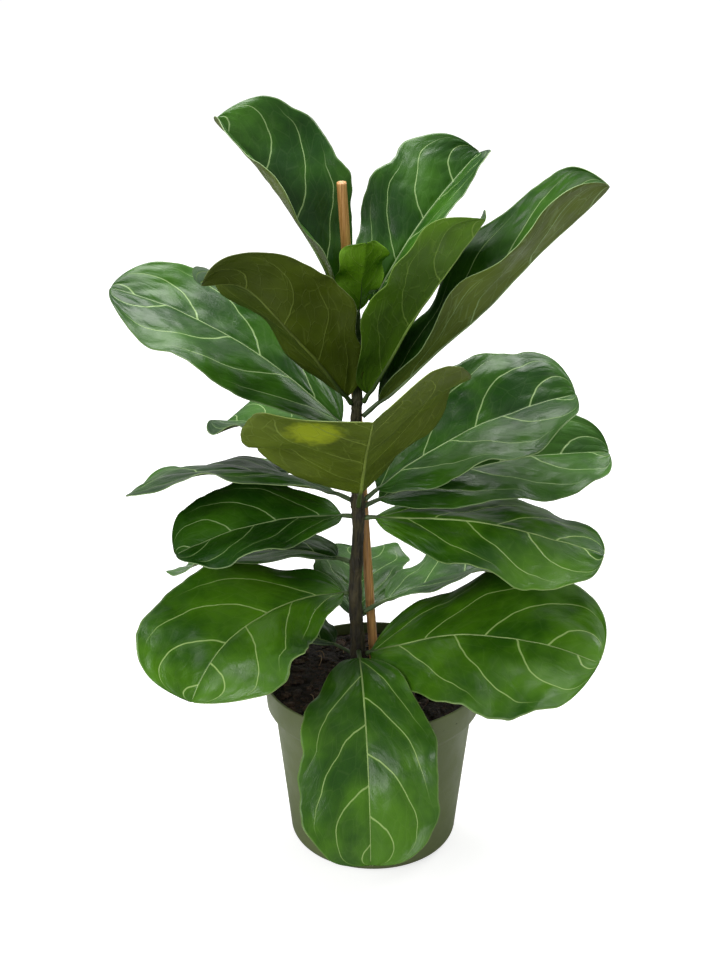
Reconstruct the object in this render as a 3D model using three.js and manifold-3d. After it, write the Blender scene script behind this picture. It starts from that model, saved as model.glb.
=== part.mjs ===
// A potted fiddle leaf fig: a round nursery pot full of potting soil, one upright woody stem
// with its leaves spiralling up it, and the bamboo cane that the stem was grown beside.
// Millimetres and degrees, +Z up. The origin is the centre of the pot's flat base.
// Headings are in plan: 0 is +X, 90 is +Y, and -90 is -Y, the plant's front.

import * as THREE from "three";
import { mergeVertices } from "three/addons/utils/BufferGeometryUtils.js";
import Module from "manifold-3d";

// Pot
const POT_HEIGHT = 175;
const RIM_RADIUS = 105;
const RIM_ROUNDING = 1;
const BASE_RADIUS = 81;
const BASE_ROUNDING = 12;
const COLLAR_HEIGHT = 36;
const COLLAR_STEP = 8;
const COLLAR_TAPER = 2;
const POT_WALL = 2;
const POT_SIDES = 48;
const DRAIN_HOLES = 6;
const DRAIN_HOLE_RADIUS = 6;
const DRAIN_HOLE_SIDES = 16;
const DRAIN_RING_RADIUS = 52;
const CORNER_STEPS = 6;

// Soil
const SOIL_TOP = 163;
const SOIL_MOUND = 3;
const SOIL_SHOULDER = 2;

// Stem and cane
const STEM_FOOT = 90;
const STEM_TOP = 545;
const STEM_FOOT_RADIUS = 7.5;
const STEM_TOP_RADIUS = 3.5;
const STEM_X = -16;
const STEM_SWAY = 1.5;
const STEM_SWAY_PITCH = 150;
const STEM_SIDES = 10;
const STEM_STEPS = 26;
const CANE_RADIUS = 4.5;
const CANE_SIDES = 12;
const CANE_FOOT = new THREE.Vector3(10, 22, 30);
const CANE_TOP = new THREE.Vector3(-29, 6, 656);

// Leaves
const BLADE_THICKNESS = 1;
const BLADE_STEPS = 12;
const BLADE_STRIPS = 4;
const ROW_CROWDING = 1.5;
const PETIOLE_RADIUS = 2.3;
const PETIOLE_TAPER = 0.6;
const PETIOLE_SINK = 0.8;
const PETIOLE_REACH = 14;
const PETIOLE_SIDES = 6;
const PETIOLE_STEPS = 4;
const SPINE_STEPS = 60;
const WIDEST_AT = 0.68;
const SWELL_POWER = 0.9;
const NARROWEST = 0.03;
const BASE_LOBE = 0.14;
const LOBE_FULL_AT = 0.05;
const BLUNTNESS = 8;
const RIPPLES = 3;
const RIPPLE_SIZE = 0.035;
const RIPPLE_LEAD = 57;
const WAVES = 2.2;
const WAVE_HEIGHT = 5;
const WAVE_LEAD = 97;
const WAVES_FULL_AT = 0.25;
const CURL_FROM = 0.7;

// The gap kept between pieces that touch, how near two points are to count as one, and
// the share of a blade over which its slope is measured
const GAP = 0.3;
const WELD_DISTANCE = 0.001;
const NUDGE = 0.01;

// One row per leaf, from the soil up. height: where it leaves the stem. heading and rise: its
// direction there. end: the rise that its midrib finishes at. petiole, length and width: of the
// stalk and the blade. roll: how far the right half is lifted, looking out from the stem.
// left and right: how far each half folds up from the midrib, and cup: more of it at the margin.
// sweep: how far the heading turns on the way. curl: what the apex adds to the rise.
// blunt: how square the apex is. wave and phase: the height and the start of the margin's waves.
const LEAVES = [
  { name: "leaf_01", height: 203, heading: -86, rise: 5, end: -85, petiole: 15, length: 215, width: 132 },
  { name: "leaf_02", height: 198, heading: -20, rise: 32, end: -15, petiole: 5, length: 230, width: 180,
    roll: -19, left: 0, right: -5 },
  { name: "leaf_03", height: 195, heading: 150, rise: 15, end: -10, petiole: 20, length: 120, width: 100 },
  { name: "leaf_04", height: 217, heading: 88, rise: 34, end: -12, petiole: 15, length: 120, width: 95 },
  { name: "leaf_05", height: 240, heading: 22, rise: 22, end: -8, petiole: 25, length: 160, width: 130,
    roll: 13 },
  { name: "leaf_06", height: 262, heading: -165, rise: 8, end: -30, petiole: 5, length: 205, width: 160,
    roll: 10, sweep: 60 },
  { name: "leaf_07", height: 292, heading: 150, rise: 3, end: -35, petiole: 15, length: 190, width: 115 },
  { name: "leaf_08", height: 340, heading: -8, rise: 8, end: -20, petiole: 10, length: 215, width: 120,
    roll: -12, left: -12, right: -15, blunt: 12 },
  { name: "leaf_09", height: 342, heading: -165, rise: 12, end: -25, petiole: 10, length: 160, width: 130,
    roll: 10, blunt: 4 },
  { name: "leaf_10", height: 358, heading: 178, rise: 28, end: -22, petiole: 15, length: 200, width: 120,
    roll: -14, left: 0, right: 0, curl: -20 },
  { name: "leaf_11", height: 351, heading: 18, rise: 20, end: -10, petiole: 15, length: 235, width: 120,
    roll: -20, left: 20, right: 0, blunt: 6 },
  { name: "leaf_12", height: 358, heading: 10, rise: 42, end: 8, petiole: 15, length: 205, width: 135,
    roll: -10, left: 30, right: 0 },
  { name: "leaf_13", height: 355, heading: -86, rise: 48, end: 36, petiole: 30, length: 195, width: 215,
    roll: -14, left: 22, right: 22, wave: 8, phase: 60 },
  { name: "leaf_14", height: 372, heading: 120, rise: -5, end: -20, petiole: 25, length: 150, width: 110 },
  { name: "leaf_15", height: 415, heading: 145, rise: 5, end: -15, petiole: 20, length: 125, width: 110,
    blunt: 11 },
  { name: "leaf_16", height: 425, heading: 170, rise: 48, end: 12, petiole: 10, length: 245, width: 145,
    roll: 15, left: 0, right: 10, blunt: 3.5 },
  { name: "leaf_17", height: 440, heading: 3, rise: 43, end: 46, petiole: 20, length: 280, width: 110,
    left: 45, right: 38, cup: 5, blunt: 12 },
  { name: "leaf_18", height: 454, heading: -142, rise: 56, end: 42, petiole: 10, length: 200, width: 132,
    roll: -25, left: 22, right: 20, sweep: -10, curl: -45 },
  { name: "leaf_19", height: 455, heading: -25, rise: 63, end: 54, petiole: 10, length: 205, width: 120,
    roll: 22, left: 36, right: 10 },
  { name: "leaf_20", height: 524, heading: 48, rise: 53, end: 32, petiole: 25, length: 175, width: 120,
    roll: -40, left: 0, right: 65, cup: 3, sweep: -10 },
  { name: "leaf_21", height: 530, heading: 166, rise: 69, end: 40, petiole: 30, length: 185, width: 140,
    roll: 44, left: 70, right: -5, cup: 3, sweep: -8 },
  { name: "young_leaf", height: 539, heading: -62, rise: 83, end: 75, petiole: 6, length: 65, width: 50 },
];

const LEAF_DEFAULTS = {
  roll: 0, left: 10, right: 10, cup: 0, sweep: 0, curl: 0,
  blunt: BLUNTNESS, wave: WAVE_HEIGHT, phase: 0,
};

const { degToRad, lerp, smoothstep, clamp } = THREE.MathUtils;

const wasm = await Module();
wasm.setup();

// ---- solids and booleans ----

function solidFrom(geometry) {
  const bare = geometry.clone();
  bare.deleteAttribute("normal");
  bare.deleteAttribute("uv");
  const merged = mergeVertices(bare, WELD_DISTANCE);
  return new wasm.Manifold(new wasm.Mesh({
    numProp: 3,
    vertProperties: merged.attributes.position.array,
    triVerts: new Uint32Array(merged.index.array),
  }));
}

function geometryFrom(solid) {
  const mesh = solid.getMesh();
  const geometry = new THREE.BufferGeometry();
  geometry.setAttribute("position", new THREE.BufferAttribute(mesh.vertProperties, 3));
  geometry.setIndex(new THREE.BufferAttribute(mesh.triVerts, 1));
  geometry.computeVertexNormals();
  return geometry;
}

// Moves every vertex of a geometry to where place(vertex) says.
function reshape(geometry, place) {
  const position = geometry.attributes.position;
  const vertex = new THREE.Vector3();
  for (let i = 0; i < position.count; i += 1) {
    vertex.fromBufferAttribute(position, i);
    const moved = place(vertex);
    position.setXYZ(i, moved.x, moved.y, moved.z);
  }
  return geometry;
}

function named(name, geometry, material) {
  const mesh = new THREE.Mesh(geometry, material);
  mesh.name = name;
  return mesh;
}

// A round bar between two points, upright cylinders included.
function bar(foot, top, radius, sides) {
  const along = new THREE.Vector3().subVectors(top, foot);
  const geometry = new THREE.CylinderGeometry(radius, radius, along.length(), sides);
  const turn = new THREE.Quaternion().setFromUnitVectors(new THREE.Vector3(0, 1, 0), along.normalize());
  geometry.applyQuaternion(turn);
  const middle = new THREE.Vector3().addVectors(foot, top).multiplyScalar(0.5);
  return geometry.translate(middle.x, middle.y, middle.z);
}

// ---- pot and soil ----

const COLLAR_BOTTOM = POT_HEIGHT - COLLAR_HEIGHT;
const COLLAR_FOOT = COLLAR_BOTTOM + COLLAR_STEP;
const COLLAR_RADIUS = RIM_RADIUS - COLLAR_TAPER;
const WALL_TOP_RADIUS = COLLAR_RADIUS - COLLAR_STEP;

// A lathe turns about Y, so the finished shape is stood up on Z.
function turned(profile, sides) {
  return new THREE.LatheGeometry(profile, sides).rotateX(Math.PI / 2);
}

function arc(centreX, centreY, radius, fromDegrees, toDegrees, steps) {
  const points = [];
  for (let i = 0; i <= steps; i += 1) {
    const angle = degToRad(lerp(fromDegrees, toDegrees, i / steps));
    points.push(new THREE.Vector2(centreX + radius * Math.cos(angle), centreY + radius * Math.sin(angle)));
  }
  return points;
}

// The pot's inside, as a profile from the bottom's centre to a given height on the wall.
function insideProfile(gap, top) {
  const inset = POT_WALL + gap;
  const cornerCentre = BASE_RADIUS - BASE_ROUNDING;
  const topRadius = lerp(COLLAR_RADIUS, RIM_RADIUS, (top - COLLAR_FOOT) / (POT_HEIGHT - COLLAR_FOOT));
  return [
    new THREE.Vector2(0, inset),
    ...arc(cornerCentre, BASE_ROUNDING, BASE_ROUNDING - inset, -90, 0, CORNER_STEPS),
    new THREE.Vector2(WALL_TOP_RADIUS - inset, COLLAR_BOTTOM + inset),
    new THREE.Vector2(COLLAR_RADIUS - inset, COLLAR_FOOT + inset),
    new THREE.Vector2(topRadius - inset, top),
  ];
}

function makePot(material) {
  const outside = [
    new THREE.Vector2(0, 0),
    ...arc(BASE_RADIUS - BASE_ROUNDING, BASE_ROUNDING, BASE_ROUNDING, -90, 0, CORNER_STEPS),
    new THREE.Vector2(WALL_TOP_RADIUS, COLLAR_BOTTOM),
    new THREE.Vector2(COLLAR_RADIUS, COLLAR_FOOT),
    new THREE.Vector2(RIM_RADIUS, POT_HEIGHT - RIM_ROUNDING),
    new THREE.Vector2(RIM_RADIUS - RIM_ROUNDING, POT_HEIGHT),
  ];
  const inside = insideProfile(0, POT_HEIGHT).reverse();
  let pot = solidFrom(turned([...outside, ...inside], POT_SIDES));
  for (let i = 0; i < DRAIN_HOLES; i += 1) {
    const angle = (2 * Math.PI * i) / DRAIN_HOLES;
    const x = DRAIN_RING_RADIUS * Math.cos(angle);
    const y = DRAIN_RING_RADIUS * Math.sin(angle);
    const foot = new THREE.Vector3(x, y, -POT_WALL);
    const top = new THREE.Vector3(x, y, 2 * POT_WALL);
    pot = pot.subtract(solidFrom(bar(foot, top, DRAIN_HOLE_RADIUS, DRAIN_HOLE_SIDES)));
  }
  return named("pot", geometryFrom(pot), material);
}

// The soil fills the pot to just under the rim, with sockets for the stem and the cane.
function makeSoil(material) {
  const profile = [
    ...insideProfile(GAP, SOIL_TOP),
    new THREE.Vector2(RIM_RADIUS / 2, SOIL_TOP + SOIL_SHOULDER),
    new THREE.Vector2(0, SOIL_TOP + SOIL_MOUND),
  ];
  const socketFoot = CANE_FOOT.clone().setZ(CANE_FOOT.z - GAP);
  const soil = solidFrom(turned(profile, POT_SIDES))
    .subtract(solidFrom(stemGeometry(GAP)))
    .subtract(solidFrom(bar(socketFoot, CANE_TOP, CANE_RADIUS + GAP, CANE_SIDES)));
  return named("soil", geometryFrom(soil), material);
}

// ---- stem and cane ----

// The stem's centre sways a little as it climbs.
function stemAt(height) {
  const angle = (2 * Math.PI * height) / STEM_SWAY_PITCH;
  return new THREE.Vector3(STEM_X + STEM_SWAY * Math.sin(angle), STEM_SWAY * Math.cos(angle), height);
}

function stemRadiusAt(height) {
  return lerp(STEM_FOOT_RADIUS, STEM_TOP_RADIUS, (height - STEM_FOOT) / (STEM_TOP - STEM_FOOT));
}

// The stem, or with a gap the socket that it stands in.
function stemGeometry(gap) {
  const geometry = new THREE.CylinderGeometry(1, 1, 1, STEM_SIDES, STEM_STEPS).rotateX(Math.PI / 2);
  return reshape(geometry, (vertex) => {
    const height = lerp(STEM_FOOT - gap, STEM_TOP, vertex.z + 0.5);
    const centre = stemAt(height);
    const radius = stemRadiusAt(height) + gap;
    return new THREE.Vector3(centre.x + vertex.x * radius, centre.y + vertex.y * radius, height);
  });
}

// ---- leaves ----

// The way a leaf points at a share of the whole run of petiole and midrib, 0 to 1.
function leafDirection(leaf, share) {
  const whole = leaf.petiole + leaf.length;
  const along = (share * whole - leaf.petiole) / leaf.length;
  const rise = lerp(leaf.rise, leaf.end, share) + leaf.curl * smoothstep(along, CURL_FROM, 1);
  return { rise: degToRad(rise), heading: degToRad(leaf.heading + leaf.sweep * share) };
}

// The petiole and midrib as evenly spaced points, from the stem's bark to the apex.
function leafSpine(leaf) {
  const step = (leaf.petiole + leaf.length) / SPINE_STEPS;
  const heading = degToRad(leaf.heading);
  const reach = stemRadiusAt(leaf.height) + GAP + PETIOLE_RADIUS * Math.sin(degToRad(Math.abs(leaf.rise)));
  const point = stemAt(leaf.height);
  point.x += reach * Math.cos(heading);
  point.y += reach * Math.sin(heading);
  const points = [point.clone()];
  for (let i = 0; i < SPINE_STEPS; i += 1) {
    const way = leafDirection(leaf, (i + 0.5) / SPINE_STEPS);
    const flat = Math.cos(way.rise);
    point.x += step * flat * Math.cos(way.heading);
    point.y += step * flat * Math.sin(way.heading);
    point.z += step * Math.sin(way.rise);
    points.push(point.clone());
  }
  return points;
}

// Where the spine is at a share of its run, with the directions out along it, to the right
// side of the blade, and up from the upper face.
function leafFrame(leaf, spine, share) {
  const place = clamp(share, 0, 1) * SPINE_STEPS;
  const before = Math.min(Math.floor(place), SPINE_STEPS - 1);
  const origin = spine[before].clone().lerp(spine[before + 1], place - before);
  const way = leafDirection(leaf, share);
  const flat = Math.cos(way.rise);
  const out = new THREE.Vector3(
    flat * Math.cos(way.heading),
    flat * Math.sin(way.heading),
    Math.sin(way.rise),
  );
  const level = new THREE.Vector3(Math.sin(way.heading), -Math.cos(way.heading), 0);
  const above = new THREE.Vector3().crossVectors(level, out);
  const right = level.applyAxisAngle(out, -degToRad(leaf.roll));
  const up = above.applyAxisAngle(out, -degToRad(leaf.roll));
  return { origin, out, right, up };
}

// Half the blade's width, from the petiole to the blunt apex. side is 1 or -1.
function halfWidth(leaf, along, side) {
  const rounded = along < WIDEST_AT ? (1 - (1 - along / WIDEST_AT) ** 2) ** SWELL_POWER : 1;
  const lobe = BASE_LOBE * Math.sqrt(Math.min(1, along / LOBE_FULL_AT));
  const swell = lobe + (1 - lobe) * rounded;
  const apex = Math.sqrt(1 - along ** leaf.blunt);
  const turn = 2 * Math.PI * RIPPLES * along + degToRad(leaf.phase + side * RIPPLE_LEAD);
  const ripple = 1 + RIPPLE_SIZE * Math.sin(turn);
  return (leaf.width / 2) * Math.max(NARROWEST, swell * apex * ripple);
}

// A point of the blade's middle surface. along: 0 at the petiole, 1 at the apex.
// across: -1 at the left margin, 1 at the right one.
function bladePoint(leaf, spine, along, across) {
  const share = (leaf.petiole + along * leaf.length) / (leaf.petiole + leaf.length);
  const frame = leafFrame(leaf, spine, share);
  const side = Math.sign(across);
  const reach = Math.abs(across);
  const fold = side > 0 ? leaf.right : leaf.left;
  const angle = degToRad(fold + leaf.cup * reach);
  const half = halfWidth(leaf, along, side) * reach;
  const lead = side > 0 ? WAVE_LEAD : 0;
  const turn = 2 * Math.PI * WAVES * along + degToRad(leaf.phase + lead);
  const wave = leaf.wave * reach ** 2 * Math.min(1, along / WAVES_FULL_AT) * Math.sin(turn);
  return frame.origin.clone()
    .addScaledVector(frame.right, side * half * Math.cos(angle))
    .addScaledVector(frame.up, half * Math.sin(angle) + wave);
}

// A box's under face has its diagonals the other way from its upper face, so where a thin blade
// twists the two faces would cross. This turns the under face's diagonals to match.
function matchDiagonals(geometry) {
  const index = geometry.index;
  const under = geometry.groups[5];
  for (let i = under.start; i < under.start + under.count; i += 6) {
    const corner = index.getX(i);
    const opposite = index.getX(i + 4);
    index.setX(i + 2, opposite);
    index.setX(i + 3, corner);
  }
  return geometry;
}

// A thin box bent into the blade, with its rows closer together towards the apex.
function bladeGeometry(leaf, spine) {
  const geometry = matchDiagonals(new THREE.BoxGeometry(1, 1, 1, BLADE_STEPS, BLADE_STRIPS, 1));
  return reshape(geometry, (vertex) => {
    const along = 1 - (0.5 - vertex.x) ** ROW_CROWDING;
    const across = -2 * vertex.y;
    const centre = bladePoint(leaf, spine, along, across);
    const row = clamp(along, NUDGE, 1 - NUDGE);
    const column = across * (1 - NUDGE);
    const ahead = bladePoint(leaf, spine, row + NUDGE, column);
    const behind = bladePoint(leaf, spine, row - NUDGE, column);
    const nearer = bladePoint(leaf, spine, row, column - NUDGE);
    const further = bladePoint(leaf, spine, row, column + NUDGE);
    const normal = further.sub(nearer).cross(ahead.sub(behind)).normalize();
    return centre.addScaledVector(normal, BLADE_THICKNESS * vertex.z);
  });
}

// The petiole, a round stalk that runs on a little way under the blade.
function petioleGeometry(leaf, spine) {
  const whole = leaf.petiole + leaf.length;
  const run = leaf.petiole + PETIOLE_REACH;
  const geometry = new THREE.CylinderGeometry(1, 1, 1, PETIOLE_SIDES, PETIOLE_STEPS);
  geometry.rotateX(Math.PI / 2);
  return reshape(geometry, (vertex) => {
    const share = vertex.z + 0.5;
    const frame = leafFrame(leaf, spine, (share * run) / whole);
    const radius = PETIOLE_RADIUS * lerp(1, PETIOLE_TAPER, share);
    return frame.origin
      .addScaledVector(frame.up, (vertex.y - share * PETIOLE_SINK) * radius)
      .addScaledVector(frame.right, -vertex.x * radius);
  });
}

function makeLeaf(row, material) {
  const leaf = { ...LEAF_DEFAULTS, ...row };
  const spine = leafSpine(leaf);
  const blade = solidFrom(bladeGeometry(leaf, spine));
  const petiole = solidFrom(petioleGeometry(leaf, spine));
  return named(leaf.name, geometryFrom(blade.add(petiole)), material);
}

// ---- the whole plant ----

const materials = {
  pot: new THREE.MeshStandardMaterial({ color: 0x68724e, roughness: 0.6, metalness: 0 }),
  soil: new THREE.MeshStandardMaterial({ color: 0x2b1d14, roughness: 1, metalness: 0 }),
  stem: new THREE.MeshStandardMaterial({ color: 0x4a3a26, roughness: 0.9, metalness: 0 }),
  cane: new THREE.MeshStandardMaterial({ color: 0xb97a35, roughness: 0.55, metalness: 0 }),
  leaf: new THREE.MeshStandardMaterial({ color: 0x24571a, roughness: 0.35, metalness: 0 }),
  youngLeaf: new THREE.MeshStandardMaterial({ color: 0x3f7f1c, roughness: 0.35, metalness: 0 }),
};

const plant = new THREE.Group();
plant.add(makePot(materials.pot));
plant.add(makeSoil(materials.soil));
plant.add(named("stem", stemGeometry(0), materials.stem));
plant.add(named("cane", bar(CANE_FOOT, CANE_TOP, CANE_RADIUS, CANE_SIDES), materials.cane));
for (const row of LEAVES) {
  plant.add(makeLeaf(row, row.name === "young_leaf" ? materials.youngLeaf : materials.leaf));
}

export default plant;
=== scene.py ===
"""A potted fiddle leaf fig in an olive nursery pot, with its soil, stem and bamboo cane.

Lengths below are in millimetres and angles in degrees, apart from the camera's and the lamps'
places, which are in metres, as every finished piece is. Headings are in plan: 0 is +X, 90 is +Y
and -90 is the front.
"""

import math
import random

import bmesh
import bpy
from mathutils import Matrix, Vector, noise


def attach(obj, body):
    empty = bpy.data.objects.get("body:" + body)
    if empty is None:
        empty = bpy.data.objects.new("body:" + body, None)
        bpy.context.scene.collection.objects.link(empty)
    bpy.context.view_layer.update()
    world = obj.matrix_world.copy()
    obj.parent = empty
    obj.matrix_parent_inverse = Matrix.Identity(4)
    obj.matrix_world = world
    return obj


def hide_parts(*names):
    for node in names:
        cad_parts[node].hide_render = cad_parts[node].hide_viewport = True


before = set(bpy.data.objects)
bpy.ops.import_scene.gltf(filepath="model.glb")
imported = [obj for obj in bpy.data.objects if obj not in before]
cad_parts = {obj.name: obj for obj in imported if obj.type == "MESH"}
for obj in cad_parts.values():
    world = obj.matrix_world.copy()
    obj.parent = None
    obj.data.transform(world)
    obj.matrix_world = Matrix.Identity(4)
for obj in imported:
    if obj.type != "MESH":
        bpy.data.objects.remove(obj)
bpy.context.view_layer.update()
random.seed(7)

MM = 0.001

# Camera and studio. Only the camera sees the glow, which the sky and the floor both have.
CAMERA_PLACE = (-0.013, -1.6, 1.08)
CAMERA_TILT = 23.7
CAMERA_LENS = 71.25
FLOOR_SIZE = 6
PALE_GLOW = 0.7
SKY_LIGHT = 0.5

# Pot
POT_HEIGHT = 175
RIM_RADIUS = 105
BASE_RADIUS = 81
BASE_ROUNDING = 12
COLLAR_HEIGHT = 36
COLLAR_STEP = 8
COLLAR_TAPER = 2
POT_WALL = 2
RIM_ROUNDING = 1.2
AXIS_GAP = 0.01
POT_SEGMENTS = 128
DRAIN_HOLES = 6
DRAIN_HOLE_RADIUS = 6
DRAIN_RING_RADIUS = 52

# Soil
SOIL_TOP = 163
SOIL_MOUND = 3
CRUST_RADIUS = 102
CRUST_ROWS = 150
CRUST_DEPTH = 5
CRUST_LIFT = 2.6
CLOD_HEIGHT = 2.6
CRUMB_HEIGHT = 1.3
GRIT_HEIGHT = 0.6
DIP_BY_WALL = 1.5
STEM_CLEARANCE = 12
BARK_CHIPS = 300
CHIP_SIZES = (2.2, 3, 3.5, 4.5, 6.5)
CHIP_MARGIN = 7
FIBRES = 9
FIBRE_LENGTHS = (12, 26)
FIBRE_RADIUS = 0.5
FIBRE_LIFT = 8
FIBRE_ARCH = 3
FIBRE_MARGIN = 24

# Stem and cane
STEM_FOOT = 90
STEM_TOP = 545
STEM_FOOT_RADIUS = 7.5
STEM_TOP_RADIUS = 3.5
STEM_X = -16
STEM_SWAY = 1.5
STEM_SWAY_PITCH = 150
STEM_TIP = 6
JOINT_SWELL = 0.7
JOINT_SPREAD = 5
SCAR_DROP = 7
SCAR_SWELL = 0.35
SCAR_SPREAD = 0.9
BARK_UNEVENNESS = 0.35
CANE_RADIUS = 4.5
CANE_FOOT = Vector((10, 22, 30))
CANE_TOP = Vector((-29, 6, 656))
CANE_NODES = (0.27, 0.52, 0.76)
CANE_RING = 0.45
CANE_RING_SPREAD = 1.6
CANE_GROOVE = 0.25
CANE_GROOVE_DROP = 3.5
CANE_GROOVE_SPREAD = 1.5
CANE_WALL = 2.6
CANE_HOLLOW = 3

# Leaves
BLADE_THICKNESS = 0.7
BLADE_COLUMNS = 64
BLADE_ROWS = 110
MIDRIB_CROWDING = 1.15
APEX_CROWDING = 1.25
PETIOLE_RADIUS = 2.3
RIB_TIP_RADIUS = 0.45
RIB_TAPER = 0.55
RIB_END = 0.985
MIDRIB_SINK = 0.65
SPINE_STEPS = 60
WIDEST_AT = 0.68
SWELL_POWER = 0.9
NARROWEST = 0.03
BASE_LOBE = 0.14
LOBE_FULL_AT = 0.05
RIPPLES = 3
RIPPLE_SIZE = 0.035
RIPPLE_LEAD = 57
WAVES = 2.2
WAVE_LEAD = 97
WAVES_FULL_AT = 0.25
CURL_FROM = 0.7
EDGE_UNEVENNESS = 0.085
QUILT_HEIGHT = 1.0
MIDRIB_GROOVE = 0.9
MIDRIB_GROOVE_SPREAD = 3.5
FRILL_HEIGHT = 3.2
BLADE_UNEVENNESS = 3.2
PUCKER_HEIGHT = 0.6
GAP = 0.3
UNDER_SLOT = 1
RIB_SLOT = 2

# How the side veins leave the midrib and bend round towards the apex: how much further along
# the blade a vein is at a share x of the half width, as VEIN_LEAN * x + VEIN_BEND * x ** 3.
VEIN_SPACING = 0.26
VEIN_LEAN = 0.22
VEIN_BEND = 0.4
BLADE_SLENDERNESS = 3.0

# The middle of the painted backlight on the olive leaf's underside, a yellow patch that stands for
# light shining through the blade, on the leaf's own map
BACKLIT_PATCH_ACROSS = 0.72
BACKLIT_PATCH_ALONG = 0.72

LEAF_DEFAULTS = {
    "roll": 0, "left": 10, "right": 10, "cup": 0, "sweep": 0, "curl": 0,
    "blunt": 8, "wave": 5, "phase": 0, "tone": "mature",
}

# One row per leaf, from the soil up. height: where it leaves the stem. heading and rise: its
# direction there. end: the rise that its midrib finishes at. petiole, length and width: of the
# stalk and the blade. roll: how far the right half is lifted, looking out from the stem.
# left and right: how far each half folds up from the midrib, and cup: more of it at the margin.
# sweep: how far the heading turns on the way. curl: what the apex adds to the rise.
# blunt: how square the apex is. wave and phase: the height and the start of the margin's waves.
LEAVES = {
    "leaf_01": dict(height=203, heading=-86, rise=5, end=-85, petiole=15, length=215, width=132,
                    tone="lush"),
    "leaf_02": dict(height=198, heading=-20, rise=32, end=-15, petiole=5, length=230, width=180,
                    roll=-19, left=0, right=-5, tone="lush"),
    "leaf_03": dict(height=195, heading=150, rise=15, end=-10, petiole=20, length=120, width=100),
    "leaf_04": dict(height=217, heading=88, rise=34, end=-12, petiole=15, length=120, width=95),
    "leaf_05": dict(height=240, heading=22, rise=22, end=-8, petiole=25, length=160, width=130,
                    roll=13),
    "leaf_06": dict(height=262, heading=-165, rise=8, end=-30, petiole=5, length=205, width=160,
                    roll=10, sweep=60, tone="lush"),
    "leaf_07": dict(height=292, heading=150, rise=3, end=-35, petiole=15, length=190, width=115),
    "leaf_08": dict(height=340, heading=-8, rise=8, end=-20, petiole=10, length=215, width=120,
                    roll=-12, left=-12, right=-15, blunt=12, tone="lush"),
    "leaf_09": dict(height=342, heading=-165, rise=12, end=-25, petiole=10, length=160, width=130,
                    roll=10, blunt=4),
    "leaf_10": dict(height=358, heading=178, rise=28, end=-22, petiole=15, length=200, width=120,
                    roll=-14, left=0, right=0, curl=-20),
    "leaf_11": dict(height=351, heading=18, rise=20, end=-10, petiole=15, length=235, width=120,
                    roll=-20, left=20, right=0, blunt=6),
    "leaf_12": dict(height=358, heading=10, rise=42, end=8, petiole=15, length=205, width=135,
                    roll=-10, left=30, right=0),
    "leaf_13": dict(height=355, heading=-86, rise=48, end=36, petiole=30, length=195, width=215,
                    roll=-14, left=22, right=22, wave=8, phase=60, tone="olive"),
    "leaf_14": dict(height=372, heading=120, rise=-5, end=-20, petiole=25, length=150, width=110),
    "leaf_15": dict(height=415, heading=145, rise=5, end=-15, petiole=20, length=125, width=110,
                    blunt=11),
    "leaf_16": dict(height=425, heading=170, rise=48, end=12, petiole=10, length=245, width=145,
                    roll=15, left=0, right=10, blunt=3.5),
    "leaf_17": dict(height=440, heading=3, rise=43, end=46, petiole=20, length=280, width=110,
                    left=45, right=38, cup=5, blunt=12),
    # leaf_18 takes the darker copy of the greens: painted shade, as the leaf hangs in shadow.
    "leaf_18": dict(height=454, heading=-142, rise=56, end=42, petiole=10, length=200, width=132,
                    roll=-25, left=22, right=20, sweep=-10, curl=-45, tone="painted_shade"),
    "leaf_19": dict(height=455, heading=-25, rise=63, end=54, petiole=10, length=205, width=120,
                    roll=22, left=36, right=10, tone="fresh"),
    "leaf_20": dict(height=524, heading=48, rise=53, end=32, petiole=25, length=175, width=120,
                    roll=-40, left=0, right=65, cup=3, sweep=-10),
    "leaf_21": dict(height=530, heading=166, rise=69, end=40, petiole=30, length=185, width=140,
                    roll=44, left=70, right=-5, cup=3, sweep=-8),
    "young_leaf": dict(height=539, heading=-62, rise=83, end=75, petiole=6, length=65, width=50,
                       tone="young"),
}


# ---- camera, light and floor ----

def set_camera():
    camera = bpy.data.objects.new("camera", bpy.data.cameras.new("camera"))
    bpy.context.scene.collection.objects.link(camera)
    camera.location = CAMERA_PLACE
    camera.rotation_euler = (math.radians(90 - CAMERA_TILT), 0, 0)
    camera.data.lens = CAMERA_LENS
    camera.data.sensor_width = 36
    bpy.context.scene.camera = camera


def soft_light(name, place, target, size, watts):
    lamp = bpy.data.lights.new(name, "AREA")
    lamp.shape = "DISK"
    lamp.size = size
    lamp.energy = watts
    light = bpy.data.objects.new(name, lamp)
    light.location = place
    light.rotation_euler = (Vector(target) - Vector(place)).to_track_quat("-Z", "Y").to_euler()
    bpy.context.scene.collection.objects.link(light)


def set_studio():
    scene = bpy.context.scene
    scene.view_settings.view_transform = "Standard"
    world = bpy.data.worlds.new("studio")
    world.use_nodes = True
    graph = Graph(world.node_tree)
    seen = graph.node("LightPath").outputs["Is Camera Ray"]
    background = graph.node("Background", Color=(1, 1, 1, 1),
                            Strength=graph.math("MULTIPLY_ADD", seen, PALE_GLOW, SKY_LIGHT))
    graph.node("OutputWorld", Surface=background.outputs[0])
    scene.world = world
    soft_light("overhead", (-0.2, 0.6, 2.3), (0, 0, 0.3), 1.5, 56)
    soft_light("front_left", (-1.4, -2.0, 1.7), (0, 0, 0.35), 1.4, 34)
    soft_light("back_right", (1.6, 1.4, 1.5), (0, 0, 0.4), 1.0, 14)


def make_floor():
    mesh = bmesh.new()
    bmesh.ops.create_grid(mesh, x_segments=2, y_segments=2, size=FLOOR_SIZE)
    floor = finished("floor", mesh, [floor_material()], smooth=False)


# ---- small tools ----

def lerp(start, end, share):
    return start + (end - start) * share


def smoothstep(value, low, high):
    share = min(1, max(0, (value - low) / (high - low)))
    return share * share * (3 - 2 * share)


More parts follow.
